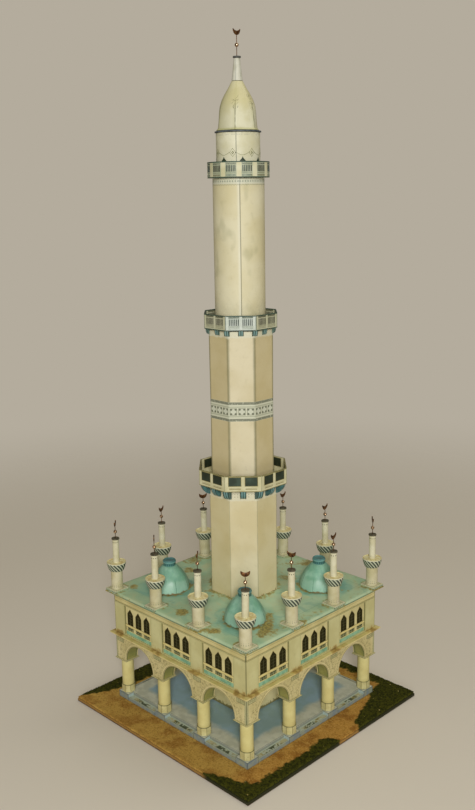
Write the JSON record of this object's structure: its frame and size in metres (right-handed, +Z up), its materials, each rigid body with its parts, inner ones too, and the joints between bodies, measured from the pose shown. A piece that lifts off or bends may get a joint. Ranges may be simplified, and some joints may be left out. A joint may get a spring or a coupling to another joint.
{
  "type": "card model of a minaret on a base board",
  "caption": "Card model of a tall minaret with balconies, standing on an arcaded square block with small domes and turrets, glued to a scenic base board.",
  "frame": {"origin": "middle of the base board's underside", "axes": "+Z up along the tower, +X and +Y along the sides of the square board, the pictured corner is at +X -Y"},
  "size_m": [0.1496, 0.1496, 0.3947],
  "materials": {
    "board": "raw hardboard edge",
    "scatter": "matt scenic scatter in earth brown and dark green",
    "floor_card": "matt printed card, blue-grey stone",
    "wall_card": "matt printed card, cream stone",
    "roof_card": "matt printed card, pale copper green",
    "dome_card": "satin printed card, teal copper green",
    "tower_card": "satin printed card, pale cream",
    "ivory_card": "matt printed card, ivory",
    "edge_card": "matt dark card edge",
    "finial": "browned metal wire, bead and crescent"
  },
  "bodies": {
    "root": {"base_board": "board", "ground_mat": "scatter", "plinth": "floor_card", "ground_core": "wall_card", "ledge": "wall_card", "roof": "roof_card", "column_01": "wall_card", "column_02": "wall_card", "column_03": "wall_card", "column_04": "wall_card", "column_05": "wall_card", "column_06": "wall_card", "column_07": "wall_card", "column_08": "wall_card", "column_09": "wall_card", "column_10": "wall_card", "column_11": "wall_card", "column_12": "wall_card", "arcade_south": "wall_card", "upper_wall_south": "wall_card", "cornice_south": "wall_card", "arcade_east": "wall_card", "upper_wall_east": "wall_card", "cornice_east": "wall_card", "arcade_north": "wall_card", "upper_wall_north": "wall_card", "cornice_north": "wall_card", "arcade_west": "wall_card", "upper_wall_west": "wall_card", "cornice_west": "wall_card", "corner_dome_south_east": "dome_card", "corner_dome_north_east": "dome_card", "corner_dome_north_west": "dome_card", "corner_dome_south_west": "dome_card", "small_minaret_01": "ivory_card", "small_minaret_02": "ivory_card", "small_minaret_03": "ivory_card", "small_minaret_04": "ivory_card", "small_minaret_05": "ivory_card", "small_minaret_06": "ivory_card", "small_minaret_07": "ivory_card", "small_minaret_08": "ivory_card", "small_minaret_09": "ivory_card", "small_minaret_10": "ivory_card", "small_minaret_11": "ivory_card", "small_minaret_12": "ivory_card", "tower_lower": "tower_card", "tower_middle": "tower_card", "tower_upper": "tower_card", "balcony_lower": "tower_card", "balcony_middle": "tower_card", "balcony_upper": "tower_card", "dome_drum": "tower_card", "main_dome": "tower_card", "dome_eave": "edge_card", "spire": "ivory_card", "top_finial": "finial"}
  },
  "joints": []
}
